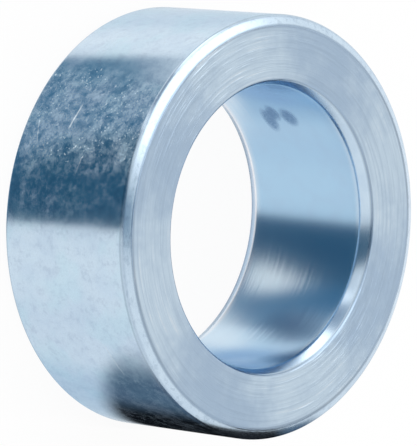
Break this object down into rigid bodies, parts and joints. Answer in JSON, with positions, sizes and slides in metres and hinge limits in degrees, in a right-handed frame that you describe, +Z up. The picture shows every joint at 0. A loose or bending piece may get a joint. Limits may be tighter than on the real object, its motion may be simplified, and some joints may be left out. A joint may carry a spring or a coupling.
{
  "type": "spacer sleeve",
  "caption": "Short thick-walled round spacer sleeve in zinc-plated steel, with a plain through bore, flat end faces and eased edges.",
  "frame": {"origin": "centre of the lower end face, on the bore axis", "axes": "+Z up along the bore axis; X and Y are any two square directions across the ring, which is round"},
  "size_m": [0.03, 0.03, 0.012],
  "materials": {
    "zinc_plated_steel": "turned, bright blue zinc plating, satin"
  },
  "bodies": {
    "root": {"spacer_sleeve": "zinc_plated_steel"}
  },
  "joints": []
}
